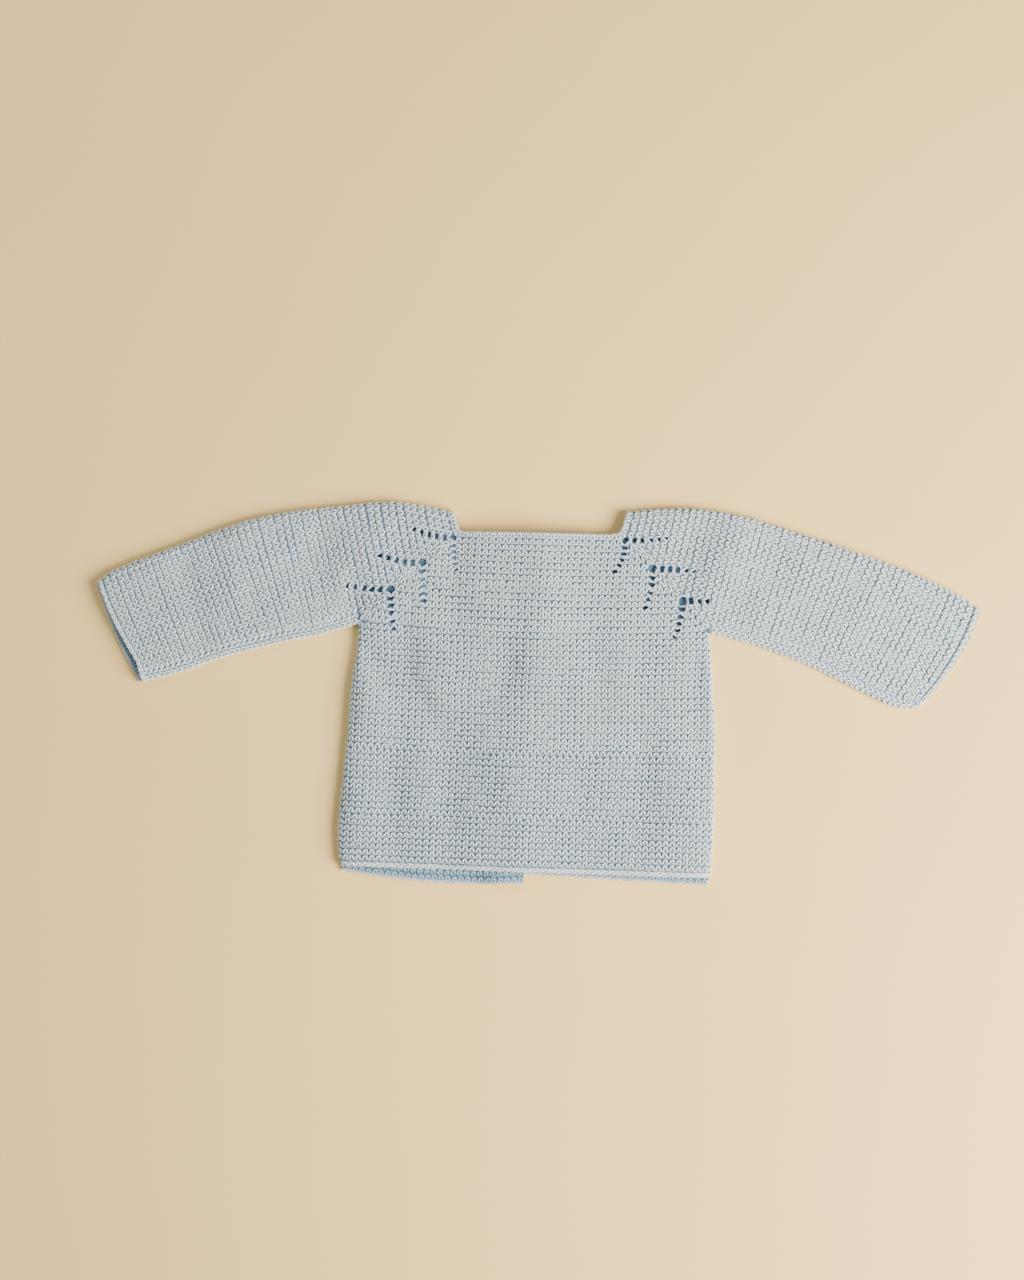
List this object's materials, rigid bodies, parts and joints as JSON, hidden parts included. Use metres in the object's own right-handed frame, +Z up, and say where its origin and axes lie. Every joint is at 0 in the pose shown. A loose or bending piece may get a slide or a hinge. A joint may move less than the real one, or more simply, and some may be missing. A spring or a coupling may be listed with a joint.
{
  "type": "knit baby sweater, laid flat",
  "caption": "Garter-stitch baby sweater with raglan sleeves and eyelet motifs, open down the back, laid flat with its front up.",
  "frame": {"origin": "middle of the bounding box, on the surface that the garment lies on", "axes": "+X towards the wearer's left sleeve, +Y up the garment from the hem to the neck, +Z up from the surface"},
  "size_m": [0.5288, 0.2297, 0.011],
  "materials": {
    "knit": "soft pale blue wool in garter stitch, matt and slightly fuzzy"
  },
  "bodies": {
    "root": {"front": "knit", "back_right": "knit", "back_left": "knit", "sleeve_right_upper": "knit", "sleeve_right_lower": "knit", "sleeve_left_upper": "knit", "sleeve_left_lower": "knit"}
  },
  "joints": []
}
